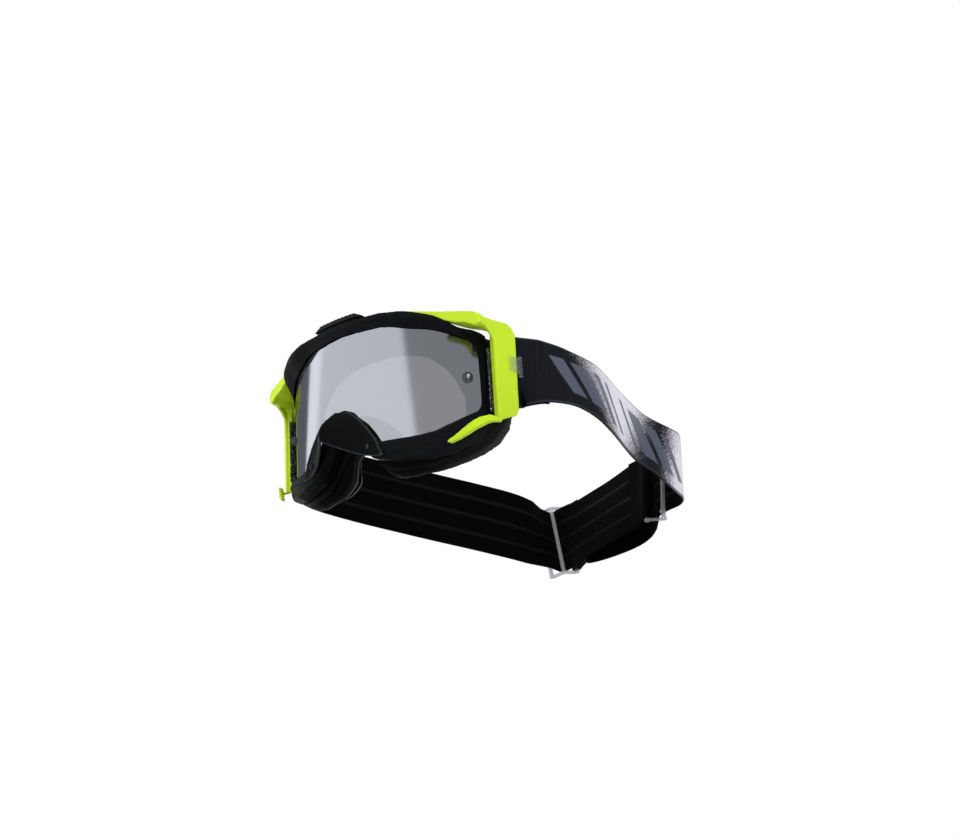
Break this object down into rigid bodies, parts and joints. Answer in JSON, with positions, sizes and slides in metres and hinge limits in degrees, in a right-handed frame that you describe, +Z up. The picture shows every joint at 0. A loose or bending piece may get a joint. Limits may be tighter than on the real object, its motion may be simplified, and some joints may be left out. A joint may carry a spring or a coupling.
{
  "type": "motocross goggles",
  "caption": "Motocross goggles with curved mirror lens, nose guard, layered face foam, swinging outriggers and wide elastic strap with sliding adjusters.",
  "frame": {"origin": "middle of the footprint on the surface that the goggles rest on", "axes": "+Z up, +Y from the lens towards the back of the strap, +X towards the wearer's left"},
  "size_m": [0.2314, 0.2886, 0.1023],
  "materials": {
    "frame_black": "satin",
    "lens_tint": "silver tint, gloss",
    "clear_plastic": "clear",
    "chassis_black": "satin",
    "mesh": "woven mesh",
    "yellow_plastic": "semi-gloss",
    "vent_foam": "open foam",
    "foam_black": "foam",
    "foam_grey": "foam",
    "fleece": "fleece",
    "guard_black": "satin",
    "steel": "brushed",
    "webbing": "woven webbing",
    "webbing_print": "printed webbing",
    "slider_plastic": "smoked clear plastic"
  },
  "bodies": {
    "goggle_frame": {"front_frame": "frame_black", "lens": "lens_tint", "tear_off_post_left": "clear_plastic", "tear_off_post_right": "clear_plastic", "chassis": "chassis_black", "side_mesh_left": "mesh", "side_mesh_right": "mesh", "corner_panel_left": "yellow_plastic", "corner_panel_right": "yellow_plastic", "top_vent_cover": "chassis_black", "vent_foam_top": "vent_foam", "vent_foam_bottom": "vent_foam", "foam_base": "foam_black", "foam_mid": "foam_grey", "foam_fleece": "fleece", "hinge_pin_left": "steel", "hinge_pin_right": "steel", "strap_left": "webbing_print", "strap_right": "webbing"},
    "outrigger_left": {"outrigger_left": "yellow_plastic", "strap_pin_left": "steel", "strap_clip_left": "clear_plastic", "strap_end_left": "webbing"},
    "outrigger_right": {"outrigger_right": "yellow_plastic", "strap_pin_right": "steel", "strap_clip_right": "clear_plastic", "strap_end_right": "webbing"},
    "nose_guard": {"nose_guard": "guard_black"},
    "slider_left": {"slider_left": "slider_plastic", "slider_end_left": "webbing"},
    "slider_right": {"slider_right": "slider_plastic", "slider_end_right": "webbing_print"}
  },
  "joints": [
    {"name": "outrigger_left_swing", "type": "hinge", "parent": "goggle_frame", "child": "outrigger_left", "pos_m": [0.06386, -0.10176, 0.09153], "axis": [0, 0, -1], "range_deg": [0, 7], "deforming": ["strap_left"]},
    {"name": "outrigger_right_swing", "type": "hinge", "parent": "goggle_frame", "child": "outrigger_right", "pos_m": [-0.06014, -0.10176, 0.09153], "axis": [0, 0, 1], "range_deg": [0, 7], "deforming": ["strap_right"]},
    {"name": "nose_guard_pull", "type": "slide", "parent": "goggle_frame", "child": "nose_guard", "axis": [0, -1, 0], "range_m": [0, 0.02]},
    {"name": "slider_left_slide", "type": "slide", "parent": "goggle_frame", "child": "slider_left", "axis": [-0.9322, 0.359, -0.046], "range_m": [0, 0.02], "deforming": ["strap_left", "strap_right"]},
    {"name": "slider_right_slide", "type": "slide", "parent": "goggle_frame", "child": "slider_right", "axis": [0.9322, -0.359, 0.046], "range_m": [0, 0.02], "deforming": ["strap_left", "strap_right"]}
  ]
}
